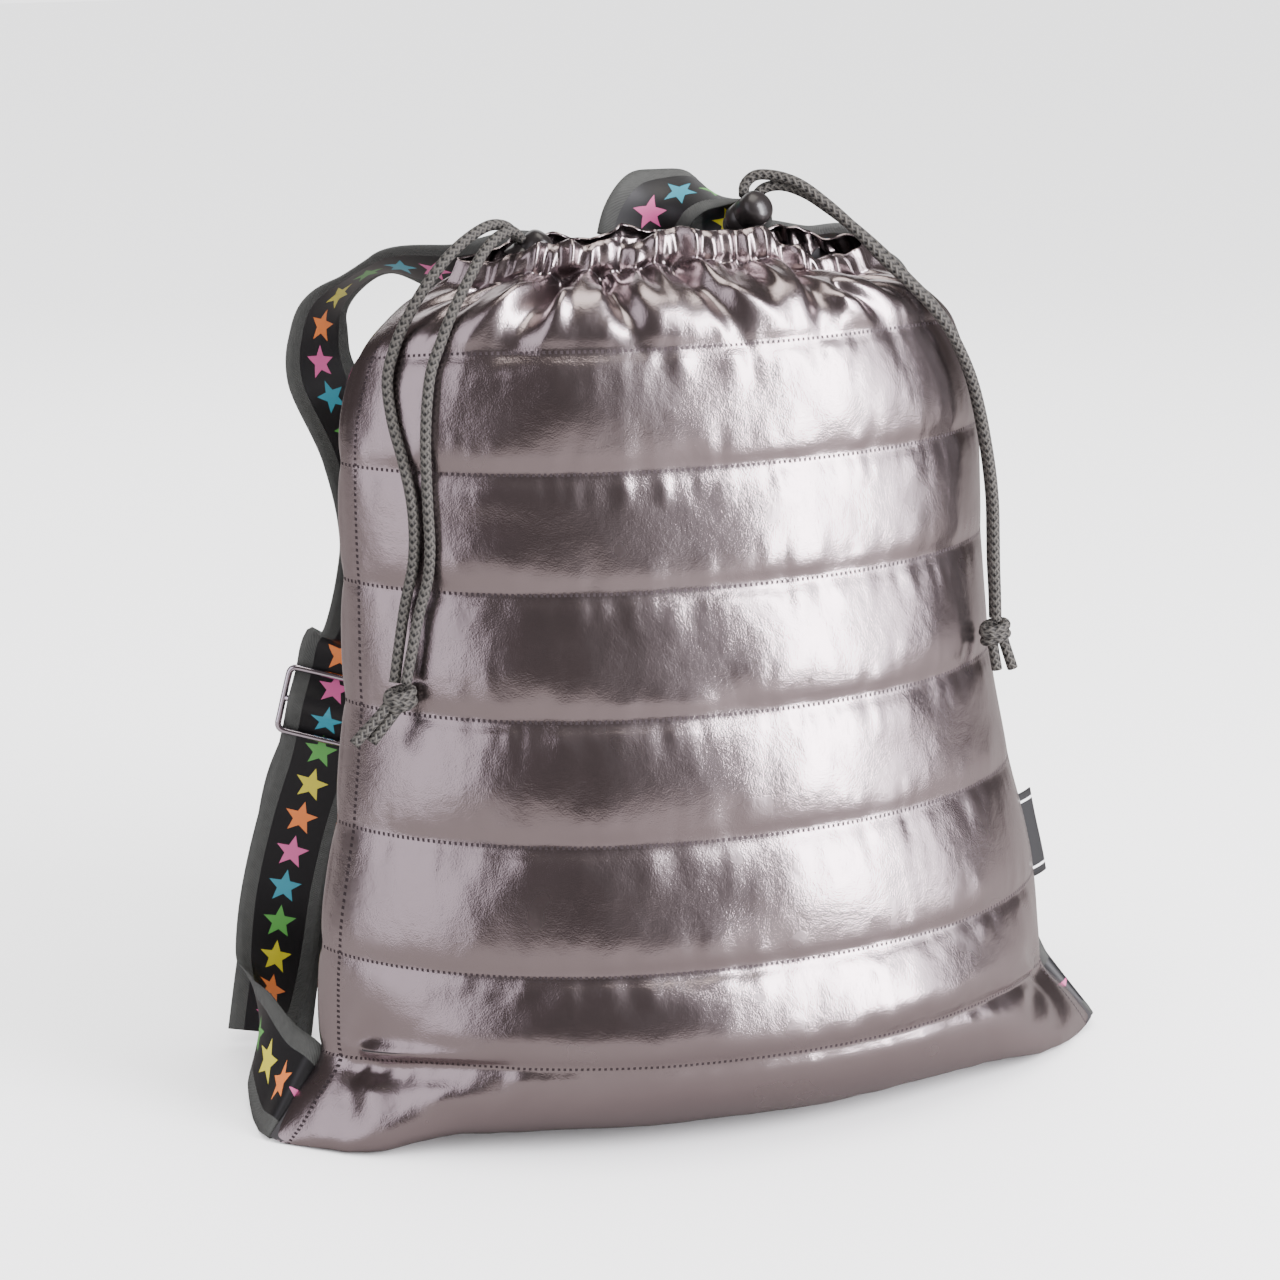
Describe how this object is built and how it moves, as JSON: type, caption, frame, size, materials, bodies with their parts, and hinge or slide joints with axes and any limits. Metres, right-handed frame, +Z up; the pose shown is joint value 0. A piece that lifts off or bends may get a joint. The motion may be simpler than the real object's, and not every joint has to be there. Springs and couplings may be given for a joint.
{
  "type": "drawstring backpack",
  "caption": "Quilted puffer drawstring backpack with shoulder straps, carry handle, cord locks and drawcords, standing filled.",
  "frame": {"origin": "middle of the footprint on the floor that the bag stands on", "axes": "+Z up, the quilted front faces -Y, the straps and the wearer are at +Y, +X to the right of somebody who looks at the front"},
  "size_m": [0.3914, 0.2262, 0.3939],
  "materials": {
    "quilted_fabric": "metallic coated nylon, padded",
    "webbing": "woven grey webbing with a star ribbon sewn on",
    "slider_metal": "polished",
    "lock_plastic": "moulded",
    "braided_cord": "round braid",
    "woven_label": "woven"
  },
  "bodies": {
    "bag": {"front_panel": "quilted_fabric", "back_panel": "quilted_fabric", "shoulder_strap_left": "webbing", "strap_tail_left": "webbing", "slider_left": "slider_metal", "shoulder_strap_right": "webbing", "strap_tail_right": "webbing", "slider_right": "slider_metal", "carry_handle": "webbing", "lock_barrel_left": "lock_plastic", "lock_barrel_right": "lock_plastic", "cord_left_outer": "braided_cord", "cord_left_inner": "braided_cord", "cord_right_outer": "braided_cord", "cord_right_inner": "braided_cord", "knot_left": "braided_cord", "knot_right": "braided_cord", "side_label": "woven_label"},
    "button_left": {"lock_button_left": "lock_plastic"},
    "button_right": {"lock_button_right": "lock_plastic"}
  },
  "joints": [
    {"name": "press_left", "type": "slide", "parent": "bag", "child": "button_left", "axis": [0.813, 0, 0.5822], "range_m": [0, 0.004], "stiffness_N_per_m": 800, "springref_m": -0.002},
    {"name": "press_right", "type": "slide", "parent": "bag", "child": "button_right", "axis": [0.307, -0.7675, 0.5628], "range_m": [0, 0.004], "stiffness_N_per_m": 800, "springref_m": -0.002}
  ]
}
